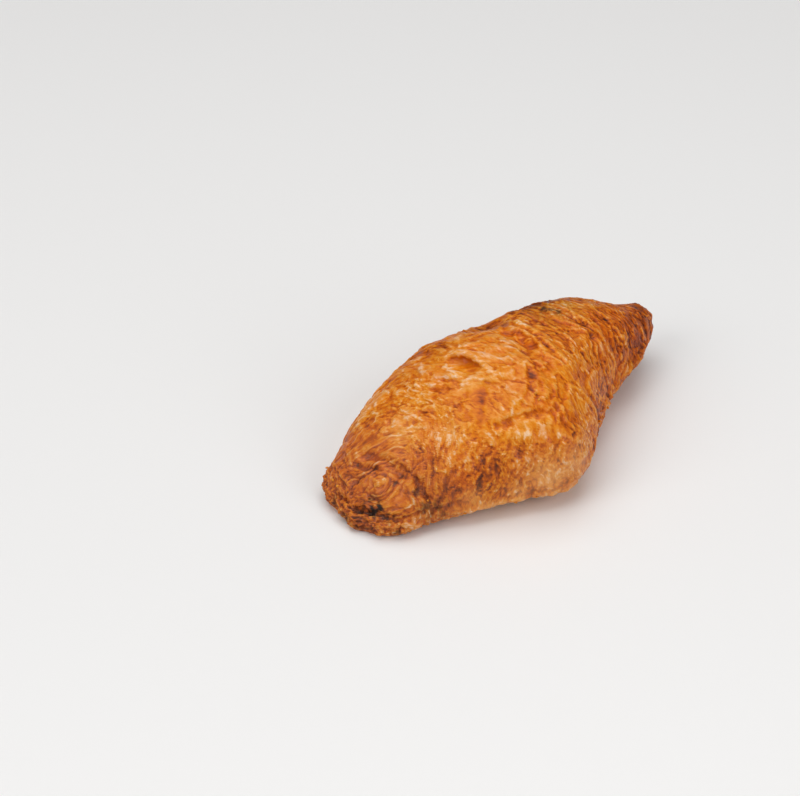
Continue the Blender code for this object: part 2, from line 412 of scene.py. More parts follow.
def legs(path):
    """For each leg of a path: its run, how far along it each point is, and what is beside."""
    path = np.array(path, dtype=float)
    for start, end in zip(path[:-1], path[1:]):
        run = end - start
        part_way = np.clip((form - start) @ run / (run @ run), 0.0, 1.0)
        offset = form - start - part_way[:, None] * run
        through = np.sum(offset * form_normals, axis=1)
        beside = offset - through[:, None] * form_normals
        away = np.linalg.norm(beside, axis=1)
        yield run, part_way, beside, np.where(np.abs(through) < REACH_THROUGH, away, np.inf)


def near_path(path, width):
    """1 on a path over the crust, falling to 0 over the width."""
    away = np.minimum.reduce([away for _, _, _, away in legs(path)])
    return np.exp(-(away / width) ** 2)


def near_centre(centre, radius):
    """1 at a centre, falling to 0 past the radius."""
    away = np.linalg.norm(form - np.array(centre), axis=1) / radius
    return np.exp(-away**2 * CENTRE_FALL)


print("points on the knot:", int(np.sum(near_centre(BLISTERS[1][1], BLISTERS[1][2]) > 0.5)))

# %% Folds that run round the pie
FOLD_HEIGHT = 0.85
FOLD_SPACING = 8.0
FOLD_STRETCH = 3.0  # a fold is this much longer than it is wide
FOLD_BEND = 1.6  # and wanders by this many spacings, over FOLD_BEND_SPAN
FOLD_BEND_SPAN = 22.0
LAYER_STEP = 0.9  # the step where a layer has torn
LAYER_SPREAD = 0.45  # against the folds, steps are this crowded
LAYER_COUNT = 2.4
LAYER_EDGE = (0.7, 1.0)  # share of a layer that its torn edge takes


def baked_relief(points):
    """Folds that run round the pie, and torn edges of layers standing a step above the next."""
    bend = gradient_noise(points / FOLD_BEND_SPAN, NOISE_SEED)
    across = points[:, 0] / FOLD_SPACING + FOLD_BEND * bend
    round_pie = points[:, 1:] / (FOLD_STRETCH * FOLD_SPACING)
    folds = gradient_noise(np.column_stack([across, round_pie]), NOISE_SEED + 1)
    wide = np.column_stack([across * LAYER_SPREAD, round_pie])
    layers = LAYER_COUNT * gradient_noise(wide, NOISE_SEED + 2)
    torn = np.floor(layers) + ramp(*LAYER_EDGE, layers - np.floor(layers)) - layers
    return FOLD_HEIGHT * folds + LAYER_STEP * torn


NEAR_FOLDS = 0.45  # the folds of the near half are softer
FAR_FOLDS = 0.90  # than those of the far half
large = baked_relief(form) * (FAR_FOLDS - (FAR_FOLDS - NEAR_FOLDS) * near_half)
tell("folds, mm:", large)

# %% Large relief
BASE_BLEND = 3.0  # relief fades out over this height above the table

# A crease deepens and fades on its way, and a ragged edge has teeth.
unevenness = patchy(gradient_noise(form / 5.0, 29), middle=0.9, swing=0.8, low=0.2, high=1.5)
teeth = streaks(across=1.7, length=5.0, seed=77, octaves=1)
serrated = patchy(teeth, middle=0.6, swing=1.5, low=0.0, high=1.6)
for _, width, depth, path in CREASES:
    large -= depth * near_path(path, width) * unevenness
for name, width, rise, path in RIDGES:
    frill = serrated if name.startswith("ragged") else unevenness
    large += rise * near_path(path, width) * frill
for _, centre, radius, rise in BLISTERS:
    large += rise * near_centre(centre, radius)
above_table = ramp(0.0, BASE_BLEND, form_z)
solid_like = form + form_normals * (large * above_table)[:, None]
tell("large relief, mm:", large)

# %% [markdown]
# ## Torn edges
# A torn edge is not a ridge: the sheet on one side stands over the hollow on the other, with
# a small cliff between. Separate sheets would be truer, but they would have to be sewn to
# the crust all round. So each edge is a path with the standing sheet on its left, made
# ragged by noise. Its lip is painted pale, a painted highlight, and its foot dark, a
# painted shadow.

# %% Edges of the sheets: rise, drop, lap, hollow and path
TORN_EDGES = (
    ("lip of the pocket", 0.5, 1.3, 3.0, 2.6,
     ((50.5, 6.5, 40), (52, 5, 41), (53.5, 2.5, 42), (54, -1, 42), (54, -5, 42), (53, -9, 42))),
    ("ragged edge under the pocket", 0.35, 0.35, 5.0, 3.0,
     ((36, 14, 32), (39, 10, 34), (41, 6, 36), (43, 1, 38), (46, -7, 39), (48, -9, 40),
      (50, -14, 40), (53, -19, 40))),
    ("edge of the hollow in the crest", 0.6, 0.8, 2.5, 2.5,
     ((67, -19, 42), (68, -16, 43), (70, -10, 43), (70, -5, 43), (69, 0, 43))),
    ("first fold of the crest", 0.6, 0.6, 2.0, 2.0,
     ((75, 6, 41), (77, 2, 42), (79, -1, 43), (79, -8, 43), (75, -17, 42), (73, -21, 41))),
    ("second fold of the crest", 0.4, 0.4, 1.8, 1.8,
     ((82, 4, 41.5), (82, -3, 42), (80, -12, 42), (79, -21, 40), (79, -28, 37))),
    ("third fold of the crest", 0.4, 0.4, 2.0, 2.0,
     ((90, 6, 40), (91, -4, 41), (90, -13, 40), (91, -20, 37), (92, -26, 32))),
    ("fold over the knot", 0.4, 0.5, 2.0, 2.0,
     ((104, 4, 38), (105, -6, 38), (105, -13, 36), (106, -18, 31), (109, -21, 23))),
    ("fold before the tip", 0.5, 0.5, 1.8, 1.8,
     ((115, 0, 36), (116, -7, 35), (117, -13, 32), (118, -17, 27), (120, -18, 21))),
    ("flap over the tongue", 0.4, 0.5, 2.5, 1.2,
     ((6, 20, 9), (2, 16, 7), (1, 12, 7), (1, 6, 7), (0, 1, 6), (1, -3, 6), (2, -9, 7.5),
      (3, -14, 8), (5, -17, 8), (9, -19, 10), (14, -22, 10), (20, -26, 10))),
    ("inner arc of the toe", 0.45, 0.5, 1.4, 1.0,
     ((9, 0, 17), (9, -2, 17), (10, -5, 18), (10, -8, 17), (11, -12, 17))),
    ("outer arc of the toe", 0.4, 0.5, 1.8, 1.2,
     ((10, 2, 17), (12, -3, 20), (15, -5, 21), (15, -12, 20), (15, -15, 18), (14, -17, 16),
      (12, -18, 14), (13, -20, 12))),
    ("left arc of the toe", 0.5, 0.45, 1.4, 1.3,
     ((12, -1, 19), (9, 0, 17), (6, 1, 15), (4, 3, 13), (2, 4, 11), (1, 5, 8))),
    ("left fold of the toe", 0.5, 0.8, 1.5, 1.5,
     ((8, 21, 10), (6, 16, 12), (4, 11, 12), (2, 6, 11))),
    ("crease along the side", 0.2, 0.25, 2.0, 1.2,
     ((42, -24, 32), (45, -26, 34), (49, -29, 35), (52, -31, 36), (56, -34, 37))),
)
print("torn edges:", len(TORN_EDGES))

# %% Torn edges on the crust
RAGGED = 0.54  # how far an edge wanders to either side, over RAGGED_SPAN
RAGGED_SPAN = 2.2
CLIFF = (-0.45, 0.25)  # the cliff lies between these distances from the path
LIP_AT = 0.3  # the painted highlight of the lip and the painted shadow of the foot beside it
FOOT_AT = -0.5
LINE_WIDTH = 0.55
POCKET_REACH = 2.6  # how far the painted shade, a deep orange, reaches under the pocket's lip


def beside_path(path):
    """Signed distance to a path, positive on its left, and a fade that dies at its ends."""
    best = np.full(COUNT, np.inf)
    signed = np.full(COUNT, np.inf)
    fade = np.zeros(COUNT)
    for leg, (run, part_way, beside, away) in enumerate(legs(path)):
        nearer = away < best
        left = np.sum(np.cross(form_normals, run) * beside, axis=1)
        best = np.where(nearer, away, best)
        signed = np.where(nearer, away * np.sign(left), signed)
        fade = np.where(nearer, np.sin((leg + part_way) / (len(path) - 1) * math.pi), fade)
    return signed, np.sqrt(np.clip(fade, 0.0, 1.0))


ragged = RAGGED * rough_noise(form / RAGGED_SPAN, 71)
edges = np.zeros(COUNT)
edge_lip_highlight = np.zeros(COUNT)
edge_foot_shadow = np.zeros(COUNT)
for name, rise, drop, lap, hollow, path in TORN_EDGES:
    signed, fade = beside_path(path)
    signed = signed + ragged
    over = ramp(*CLIFF, signed)
    sheet = rise * np.exp(-(signed / lap) ** 2) * over
    whole = 1.0 if name == "lip of the pocket" else unevenness
    edges += whole * fade * (sheet - drop * np.exp(-(signed / hollow) ** 2) * (1.0 - over))
    # the lip line carries a painted highlight, and the foot line a painted shadow
    edge_lip_highlight = np.maximum(edge_lip_highlight, fade * np.exp(-((signed - LIP_AT) / LINE_WIDTH) ** 2))
    edge_foot_shadow = np.maximum(edge_foot_shadow, fade * np.exp(-((signed - FOOT_AT) / LINE_WIDTH) ** 2))
    # Under the pocket's lip the crust gets a painted shade of deep orange.
    if name == "lip of the pocket":
        under_lip = np.minimum(signed, 0.0) / POCKET_REACH
        pocket = fade * (1.0 - over) * np.exp(-under_lip**2)
tell("torn edges, mm:", edges)

# %% [markdown]
# ## Fine relief: sheets, plates and flakes
# The outer sheets are torn, and their surface has blistered into plates and small flakes.
# A noise cut into terraces makes the sheets, so that each ends in a small cliff. Plates and
# flakes are cells round scattered points, each at its own height and lean. Each terrace and
# cell has a tone of its own as well, because a plate browns as one piece.

# %% Torn sheets
SHEET_STEP = 0.40  # thickness of a sheet
SHEET_SLOPE = 0.8  # a sheet slopes down to its edge by this share of the step


def terraces(noise, levels, seed):
    """Sheets cut from a noise: relief, lip and foot (for painted highlight and shadow), and a tone
    each.
    """
    cut = levels * noise
    part = cut - np.floor(cut)
    rise = ramp(0.68, 0.76, part)
    lip = ramp(0.70, 0.76, part) * (1.0 - ramp(0.78, 0.96, part))
    foot = ramp(0.52, 0.68, part) * (1.0 - ramp(0.68, 0.74, part))
    tones = np.random.default_rng(seed).uniform(-1.0, 1.0, 64)
    level = np.floor(cut).astype(int)
    tone = tones[level & 63] * (1.0 - rise) + tones[(level + 1) & 63] * rise
    return level + rise - SHEET_SLOPE * cut, lip, foot, tone


sheet_noise = streaks(across=11.0, length=20.0, seed=41, octaves=4)
sheets, sheet_lip_highlight, sheet_foot_shadow, sheet_tone = terraces(sheet_noise, levels=1.3, seed=5)
tell("sheets, steps:", sheets)

# %% Cells with a height and a tone each


def chips(points, seed, edge):
    """Cells with a height, a lean and a tone each: height, lip and foot (for painted highlight and
    shadow), tone.
    """
    random = np.random.default_rng(seed)
    shuffle = random.permutation(256)
    jitter = random.uniform(0.1, 0.9, (256, 3))
    lean = random.normal(0.0, 0.35, (256, 3))
    level = random.uniform(-0.5, 0.5, 256)
    tones = random.uniform(-1.0, 1.0, 256)
    cell = np.floor(points).astype(int)
    names, aways, heights = [], [], []
    for step in np.ndindex(3, 3, 3):
        near = cell + np.array(step) - 1
        row = shuffle[(shuffle[near[:, 0] & 255] + near[:, 1]) & 255]
        name = shuffle[(row + near[:, 2]) & 255]
        offset = points - near - jitter[name]
        names.append(name)
        aways.append(np.linalg.norm(offset, axis=1))
        heights.append(level[name] + np.sum(lean[name] * offset, axis=1))
    nearest = np.argsort(aways, axis=0)[:2]
    own, other = np.take_along_axis(np.array(names), nearest, axis=0)
    first, second = np.take_along_axis(np.array(aways), nearest, axis=0)
    own_height, other_height = np.take_along_axis(np.array(heights), nearest, axis=0)
    inner = 0.5 + 0.5 * ramp(0.0, edge, second - first)
    cliff = (own_height - other_height) * np.exp(-((second - first) / (2.0 * edge)) ** 2)
    height = own_height * inner + other_height * (1.0 - inner)
    tone = tones[own] * inner + tones[other] * (1.0 - inner)
    return height, np.clip(cliff, 0.0, 1.0), np.clip(-cliff, 0.0, 1.0), tone

# %% Plates and flakes
PLATE_STEP = 0.24  # height between plates
FLAKE_STEP = 0.16  # and between small flakes
FRAY = 0.16  # how ragged an outline is, as a share of the cell,
FRAY_SPAN = 0.45  # over this share of its width


def chipped(across, length, seed, edge):
    """Chips this wide along the pie and this long round it, with ragged outlines."""
    place_in = np.column_stack([flow / across, on_ring / length])
    span = FRAY_SPAN * across
    fray = np.column_stack([rough_noise(form / span, seed + i) for i in range(3)])
    return chips(place_in + FRAY * fray, seed, edge)


plates, plate_lip_highlight, plate_foot_shadow, plate_tone = chipped(across=5.0, length=9.0, seed=42, edge=0.10)
flakes, flake_lip_highlight, flake_foot_shadow, flake_tone = chipped(across=2.2, length=3.6, seed=46, edge=0.16)
fine = SHEET_STEP * sheets + PLATE_STEP * plates + FLAKE_STEP * flakes
tell("sheets, plates and flakes, mm:", fine)

# %% [markdown]
# ## Wrinkles, lumps and smooth patches
# A skin shrinks as it dries, and wrinkles. Folding a noise at zero gives thin sharp crests
# with rounded hollows between, as a wrinkled skin has. The far half has short sharp
# wrinkles, the near end arcs, and the tongue is open crumb: lumps with pits. Where the egg
# wash lay thick the crust stayed smooth.

# %% Wrinkles
WRINKLE = 0.224  # height of the broader wrinkles
CREPE = 0.16  # height of the finer ones
THREAD = 0.30  # of the short sharp wrinkles of the far half
ARC = 0.28  # and of the arcs round the near end
wrinkles = np.abs(streaks(across=3.4, length=12.0, seed=43))
crepe = np.abs(streaks(across=1.7, length=6.0, seed=45, octaves=1))
calm = patchy(gradient_noise(form / 12.0, 47), middle=0.8, swing=0.9, low=0.1, high=1.3)
fine += (WRINKLE * (np.minimum(wrinkles, 0.6) - 0.3) + CREPE * (crepe - 0.3)) * calm

# No wrinkle runs far: this breaks them every 5 mm or so.
broken = patchy(gradient_noise(form / 5.0, 91), middle=0.45, swing=1.6, low=0.0, high=1.3)
crests = 0.6 - 1.6 * np.abs(streaks(across=1.9, length=5.5, seed=61))
fine += THREAD * far_half * crests * broken
arcs = streaks(across=1.5, length=4.5, seed=65)
fine += ARC * (1.0 - far_half) * arcs * np.maximum(broken, 1.3 * toe_side)
tell("with wrinkles, mm:", fine)

# %% Lumps of the tongue, and smooth patches
LUMP = 0.80  # height of the lumps, over LUMP_SPAN
LUMP_SPAN = 2.6
PIT = 0.60  # depth of the pits, over PIT_SPAN
PIT_SPAN = 1.6
SMOOTHING = 0.8  # how much of the fine relief a smooth patch has lost
SMOOTH_PATCHES = (
    ((44, -14, 37.5), 6.5), ((40, -19, 34), 5.5), ((62, -23, 42), 4.0), ((52, -1, 41), 4.0),
    ((52, -5, 41), 4.0),
)
lumpy = toe_side * (1.0 - ramp(6.0, 9.0, form_z))
lumps = LUMP * rough_noise(form / LUMP_SPAN, 49)
fine += lumpy * (lumps - PIT * np.abs(rough_noise(form / PIT_SPAN, 83)))
smooth = np.maximum.reduce([near_centre(centre, radius) for centre, radius in SMOOTH_PATCHES])
fine *= 1.0 - SMOOTHING * smooth
fine += edges
print("smooth patches:", len(SMOOTH_PATCHES))

# %% Bubbles of steam under the skin
BUBBLES = 90
BUBBLE_RADII = (0.9, 2.6)
BUBBLE_HEIGHTS = (0.15, 0.45)
random = np.random.default_rng(7)
for centre in form[random.choice(COUNT, BUBBLES, replace=False)]:
    bubble = near_centre(centre, random.uniform(*BUBBLE_RADII))
    fine += random.uniform(*BUBBLE_HEIGHTS) * bubble
print("bubbles:", BUBBLES)

# %% [markdown]
# ## The crust as one mesh
# The large relief moves the points first, and the fine relief then pushes along the normals
# of that surface, so that wrinkles stand square on the folds. What would sink into the table
# is held at its level. The crust stands where the solid stands, and takes its place.

# %% Put the relief on the crust
points = form + form_normals * (large * above_table)[:, None]
place(crust_mesh, points)
normals = read_vectors(crust_mesh.vertex_normals, "vector", COUNT)
points += normals * (fine * above_table)[:, None]
points[:, 2] = np.maximum(points[:, 2], 0.0)
middle = (solid_like.min(axis=0) + solid_like.max(axis=0)) / 2
stand = np.array([(l + h) / 2 / MM for l, h in zip(PIE_LOW, PIE_HIGH)])
SHIFT = np.array([stand[0] - middle[0], stand[1] - middle[1], 0.0])
place(crust_mesh, points + SHIFT)
crust_mesh.shade_smooth()
crust = new_object("crust", crust_mesh)
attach(crust, "root")
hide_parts(PIE)
tell("fine relief, mm:", fine)

# %% [markdown]
# ## Where the crust browned
# An oven browns what is thin, dry and high, and leaves pale what was shaded or wet. Brush
# strokes on an image would fix it to one view, so the bake is numbers on the mesh: patches
# with a centre, a radius and an amount, fields such as the toe and the tip, and noise to
# break them up.

# %% Patches browned more or less, pale patches (the low ones painted light from the floor) and char: centre, radius and amount
BROWN_PATCHES = (
    ((29, -29, 16), 7.0, 0.32), ((24, -27, 15), 4.0, 0.25), ((38, -34, 20), 7.0, 0.06),
    ((56, -28, 39), 9.0, 0.19), ((24, -8, 25), 5.0, -0.15), ((14, -1, 21), 4.5, -0.13),
    ((42, -4, 37), 2.6, 0.30), ((38, -9, 35), 2.8, 0.30), ((34, -14, 31), 3.0, 0.30),
    ((44, -17, 37), 5.5, 0.38), ((40, -21, 33), 4.0, 0.18), ((33, -2, 32), 3.0, 0.25),
    ((30, -8, 31), 3.0, 0.25), ((12, 6, 19), 4.0, -0.25), ((8, 7, 16), 3.0, -0.20),
    ((13, -14, 18), 4.5, 0.22), ((20, -22, 19), 3.5, 0.25), ((62, -23, 42), 3.6, 0.32),
    ((59, -40, 33), 5.0, 0.22), ((65, -41, 31), 4.0, 0.25), ((49, -38, 27), 5.0, 0.22),
    ((102, -16, 35), 3.2, 0.45), ((111, -17, 29), 4.5, 0.45), ((114, -18, 26), 3.5, 0.35),
    ((126, -13, 28), 7.0, 0.35), ((137, -9, 23), 8.0, 0.35), ((128, -16, 20), 6.0, 0.35),
    ((146, -3, 18), 9.0, 0.40), ((52, 4, 41), 13.0, -0.15), ((44, 3, 38), 6.0, -0.15),
    ((34, 4, 33), 10.0, -0.20), ((30, -16, 27), 8.0, -0.14), ((84, -8, 41), 13.0, 0.12),
    ((68, -12, 44), 8.0, 0.14), ((85, -33, 29), 10.0, 0.10), ((46, -8, 38.5), 4.5, -0.18),
    ((22, 2, 26), 8.0, -0.27), ((45, 16, 34), 12.0, -0.10), ((59, -43, 28), 6.0, 0.10),
    ((15, -20, 16), 4.5, 0.24), ((48, -26, 34), 12.0, -0.12), ((40, 10, 34), 6.0, -0.10),
    ((62, -42, 22), 8.0, -0.18), ((56, -44, 16), 7.0, -0.15), ((62, -6, 42), 8.0, -0.10),
    ((28, 2, 29), 8.0, -0.10), ((17, -21, 16), 2.4, -0.25), ((9, -18, 11), 2.2, -0.35),
    # ((8, -5, 16), 2.2, -0.5) pales the top of the toe's blister: a painted highlight.
    ((8, -5, 16), 2.2, -0.5), ((0, -3, 3), 7.0, 0.50), ((0, -11, 3), 4.0, 0.40),
    ((1, 12, 3), 5.0, 0.35), ((9, -19, 5), 5.0, -0.35),
)
PALE_PATCHES = (
    # The four patches low on the right side are painted light thrown up from the floor.
    ((50, -43, 15), 9.0, 1.0), ((41, -38, 10), 6.0, 0.7), ((59, -47, 18), 8.0, 0.9),
    ((27, -29, 11), 5.0, 0.5), ((46, -8, 39), 5.0, 0.20), ((24, 2, 26), 8.0, 0.30),
    ((31, -15, 29), 5.0, 0.20),
)
CHARS = (
    ((2, -7, 9), 3.2, 1.0), ((1, -4, 5), 3.0, 0.7), ((3, -13, 8), 1.6, 0.8),
    ((1, 9, 3.5), 2.4, 0.9), ((0, 6, 3), 2.4, 1.0), ((-1, 2, 2), 2.4, 0.9),
    ((2, 16, 3.5), 2.0, 0.8), ((4, 20, 4), 1.8, 0.6), ((-2, -3, 2), 2.2, 0.7),
    ((-1, -8, 2), 2.0, 0.6), ((4, -16, 3), 1.8, 0.7), ((14, -21.5, 10.5), 3.0, 0.65),
    ((17, -24, 9.5), 3.0, 0.6), ((13, -17, 16), 1.8, 0.6), ((100, 7, 39), 2.2, 0.8),
    ((99, 3, 39), 2.2, 0.9), ((101, -1, 39), 1.8, 0.8), ((110, 10, 35), 2.6, 0.5),
    ((149, -1, 20), 1.8, 0.6),
)
print("patches:", len(BROWN_PATCHES), len(PALE_PATCHES), len(CHARS))

# %% Pale near the table: pale dough, and painted light thrown up from the floor
pale = 1.0 - ramp(5.0, 13.0, form_z + 2.5 * rough_noise(form / 8.0, 57))
pale *= ramp(16.0, 34.0, form_x) * (1.0 - ramp(66.0, 90.0, form_x))
for centre, radius, amount in PALE_PATCHES:
    pale = np.maximum(pale, amount * near_centre(centre, radius))
print("points of pale dough:", int(np.sum(pale > 0.5)))

# %% Fields for the sides, the tip and the far edge
tip_side = ramp(95.0, 150.0, form_x)
side_band = ramp(14.0, 28.0, -form_y) * (1.0 - ramp(24.0, 32.0, form_z))
speckled = side_band * ramp(14.0, 30.0, form_x)

# The far edge is olive brown. It starts further out near the toe.
olive = ramp(2.0, 14.0, form_y + 0.05 * (form_x - 60.0)) * ramp(20.0, 60.0, form_x)
olive *= ramp(20.0, 30.0, form_z + 0.12 * (form_x - 80.0))
olive *= 0.35 + 0.65 * ramp(62.0, 92.0, form_x)
olive *= patchy(rough_noise(form / 8.0, 93), middle=0.8, swing=0.9, low=0.2, high=1.0)
far_gold = ramp(80.0, 94.0, form_x) * ramp(-11.0, 1.0, form_y)
far_gold *= ramp(18.0, 28.0, form_z + 8.0 * tip_side) * (1.0 - np.clip(olive, 0.0, 1.0))
far_gold *= patchy(rough_noise(form / 5.0, 95), middle=0.8, swing=0.6, low=0.3, high=1.0)
print("points of the olive edge:", int(np.sum(olive > 0.5)))

# %% Browning
BASE_BROWNING = 0.30
specks = rough_noise(form / 1.2, 97)
browning = np.full(COUNT, BASE_BROWNING)
for field, amount in (
    (toe_side, 0.33),
    (tip_side, 0.34),
    (lumpy, -0.10),
    (side_band, 0.08),
    (far_half, 0.10),
    (toe_side * rough_noise(form / 4.0, 85), 0.13),
    (speckled, 0.10),
    (speckled * rough_noise(form / 2.0, 87), 0.16),
    (speckled * specks, 0.36),
    (rough_noise(form / 13.0, 51), 0.20),
    (streaks(across=3.2, length=10.0, seed=53), 0.13),
    (specks, 0.13),
    (olive, 0.47),
):
    browning += amount * field
patch_noise = 0.9 + 0.5 * rough_noise(form / 3.0, 55)
for centre, radius, amount in BROWN_PATCHES:
    browning += amount * near_centre(centre, radius) * patch_noise
tell("browning:", browning)

# %% Char, ruddy crust, and a painted sheen on the toe and the near side
CHAR_SPREAD = 1.3  # a spot reaches this many radii, and noise eats into its edge
char = np.zeros(COUNT)
char_noise = 1.0 + 2.2 * rough_noise(form / 1.8, 59)
for centre, radius, amount in CHARS:
    spot = near_centre(centre, CHAR_SPREAD * radius) * char_noise - 0.1
    char = np.maximum(char, amount * np.clip(spot, 0.0, 1.0))
ruddy_noise = 0.6 * rough_noise(form / 9.0, 63) + 0.25 * plate_tone
ruddy = patchy(ruddy_noise, middle=0.5, swing=1.0, low=0.0, high=1.0) * (1.0 - 0.8 * smooth)
# A painted sheen: a greyish pink haze over the toe and the near side, weaker where the crust is
# pale.
sheen_haze = toe_side + 0.5 * side_band * (1.0 - ramp(60.0, 80.0, form_x))
sheen_haze *= 1.0 - 0.6 * np.clip(pale, 0.0, 1.0)
print("charred points:", int(np.sum(char > 0.5)))

# %% [markdown]
# ## One tone for the bake
# Crests are painted pale and waxy, a painted sheen, and hollows dark, a painted shade. How
# proud a point stands is its height less the height averaged over the grid around it, once
# over a wide patch and once over a narrow one. Pointiness in the material would depend on
# the mesh's fineness alone. This, the browning, and the painted highlights on the lips and
# painted shadows at the feet of the layers add up to one tone from 0, burnt, to 1, pale and
# waxy.

# %% What stands proud: painted sheen on crests and painted shade in hollows


def smoothed(values, passes):
    """A field averaged with its neighbours on the grid, so many times over."""
    grid = values[:-2].reshape(RINGS - 1, COLUMNS)
    for _ in range(passes):
        padded = np.concatenate([grid[:1], grid, grid[-1:]])
        grid = (padded[:-2] + padded[1:-1] + padded[2:]) / 3
        grid = (np.roll(grid, 1, axis=1) + grid + np.roll(grid, -1, axis=1)) / 3
    return np.append(grid.ravel(), (grid[0].mean(), grid[-1].mean()))


WIDE_PASSES = 14
NARROW_PASSES = 3
relief = large + fine
# Painted sheen on what stands proud and painted shade in the hollows, once wide and once narrow.
standing = np.clip((relief - smoothed(relief, WIDE_PASSES)) / 0.45, -1.0, 1.0)
fine_sheen_and_shade = np.clip((relief - smoothed(relief, NARROW_PASSES)) / 0.10, -1.0, 1.0)
# Lips of the layers get a painted highlight, and their feet a painted shadow.
lip_highlights = np.maximum.reduce([0.8 * sheet_lip_highlight, 1.4 * plate_lip_highlight, 0.8 * flake_lip_highlight, 0.35 * edge_lip_highlight])
foot_shadows = np.maximum.reduce([0.8 * sheet_foot_shadow, 1.4 * plate_foot_shadow, 0.8 * flake_foot_shadow, 1.4 * edge_foot_shadow])
layered = (0.55 * sheet_tone + 0.6 * plate_tone + 0.4 * flake_tone) * (1.0 - smooth)
print("points on lips:", int(np.sum(lip_highlights > 0.5)), "and at feet:", int(np.sum(foot_shadows > 0.5)))

# %% The tone of the bake
BASE_TONE = 0.79
DARKEST_TONE = 0.10
WAXY_TONE = 0.79  # above this a tone rises more slowly,
WAXY_SHARE = 0.7  # by this share
bake_tone = np.full(COUNT, BASE_TONE)
for field, amount in (
    (browning, -0.62),
    (standing, 0.08),
    (layered, 0.12),
    (fine_sheen_and_shade, 0.08),
    (fine_sheen_and_shade * toe_side, 0.05),
    (fine_sheen_and_shade * far_half, 0.03),
):
    bake_tone += amount * field
bake_tone = np.maximum(bake_tone, DARKEST_TONE)
# lips add a painted highlight and feet a painted shadow
# pale adds pale dough and painted light thrown up from the floor
for field, amount in ((pale, 0.16), (lip_highlights, 0.14), (foot_shadows, -0.12), (smooth, -0.13), (far_gold, 0.10)):
    bake_tone += amount * field
bake_tone = np.minimum(bake_tone, WAXY_TONE + WAXY_SHARE * (bake_tone - WAXY_TONE))
tell("tone:", bake_tone)

# %% Keep the numbers on the mesh


def keep(mesh, name, values):
    """Store one number a vertex under a name that the material can read."""
    layer = mesh.attributes.new(name, "FLOAT", "POINT")
    layer.data.foreach_set("value", values.astype(np.float32))


def keep_flow(mesh, places):
    """Store where each vertex lies in the flow of the layers, in millimetres."""
    layer = mesh.attributes.new("flow", "FLOAT_VECTOR", "POINT")
    layer.data.foreach_set("vector", places.astype(np.float32).ravel())


top_skin = ramp(26.0, 34.0, form_z) * ramp(30.0, 45.0, form_x) * (1.0 - far_half)
rough_skin = (1.0 - 0.6 * np.clip(smooth, 0.0, 1.0)) * (1.0 - 0.32 * top_skin) + 0.15 * side_band
crust_numbers = {
    "bake_tone": bake_tone,
    "rough_skin": rough_skin,
    "pale": np.clip(pale, 0.0, 1.0),
    "char": char,
    "olive": np.clip(olive + 0.7 * far_gold, 0.0, 1.0),
    "pocket": pocket,
    "ruddy": ruddy,
    "sheen_haze": sheen_haze,
}
for name, values in crust_numbers.items():
    keep(crust_mesh, name, values)
keep_flow(crust_mesh, np.column_stack([flow, on_ring]))
print("numbers on the crust:", ", ".join(crust_numbers))

# %% [markdown]
# ## Egg-washed puff pastry
# Baked puff pastry is thin translucent starch and butter under a dried egg glaze, satin
# under a thin gloss. Crests are painted pale and waxy, a painted sheen, and hollows a deep
# orange brown, a painted shade. An image would be simpler, but it has one size and one light
# baked in. Here the numbers on the mesh give the bake, and noise in the flow of the layers
# gives what is finer than the grid.

# %% Colours and nodes


def linear(hex_colour):
    """An sRGB hex colour as linear RGBA."""
    channels = [int(hex_colour[i:i + 2], 16) / 255 for i in (1, 3, 5)]
    curve = [c / 12.92 if c <= 0.04045 else ((c + 0.055) / 1.055) ** 2.4 for c in channels]
    return (*curve, 1.0)


def add(tree, kind, inputs=None, **settings):
    """Add a node, set its properties, and fill its inputs with values or links."""
    node = tree.nodes.new(kind)
    for name, value in settings.items():
        setattr(node, name, value)
    for name, value in (inputs or {}).items():
        if isinstance(value, bpy.types.NodeSocket):
            tree.links.new(value, node.inputs[name])
        else:
            node.inputs[name].default_value = value
    return node

# %% Colours of the bake
BAKE_TONES = (
    (0.00, "#451a0a"),
    (0.18, "#82370b"),
    (0.36, "#b25204"),
    (0.52, "#cf6b04"),
    (0.68, "#df8612"),
    (0.84, "#e69e44"),
    (1.00, "#f0c8a0"),
)
TINTS = (  # the number it follows, how much at most, colour, and how it mixes
    ("ruddy", 0.40, "#f0b49a", "MULTIPLY"),
    ("olive", 0.75, "#ccdcc0", "MULTIPLY"),
    # pale dough, and painted light from the floor
    ("pale", 0.50, "#eeb070", "MIX"),
    # a painted sheen over the toe and the near side
    ("sheen_haze", 0.22, "#a0684c", "MIX"),
    # the pocket's tint is a painted shade under its lip
    ("pocket", 0.80, "#c05c08", "MIX"),
    ("char", 1.00, "#2a1a14", "MIX"),
)
print("tones of the bake:", len(BAKE_TONES), "and tints:", len(TINTS))

# %% The crust material and the numbers that it reads
pastry = bpy.data.materials.new("egg_washed_puff_pastry")
pastry.use_nodes = True
tree = pastry.node_tree
shader = tree.nodes["Principled BSDF"]
numbers = {}
for name in crust_numbers:
    numbers[name] = add(tree, "ShaderNodeAttribute", attribute_name=name).outputs["Fac"]
flow_at = add(tree, "ShaderNodeAttribute", attribute_name="flow").outputs["Vector"]
print("numbers that the material reads:", len(numbers))

# %% Grain, and crests with a painted sheen


def threads(across, length, detail, shift=0.0):
    """Streaky noise in the flow of the layers, with sizes in millimetres."""
    stretch = add(tree, "ShaderNodeVectorMath",
                  {0: flow_at, 1: (1 / across, 1 / length, 1 / length), 2: (shift, shift, shift)},
                  operation="MULTIPLY_ADD")
    noise = add(tree, "ShaderNodeTexNoise",
                {"Vector": stretch.outputs[0], "Scale": 1.0, "Detail": detail, "Roughness": 0.6})
    return noise.outputs[0]


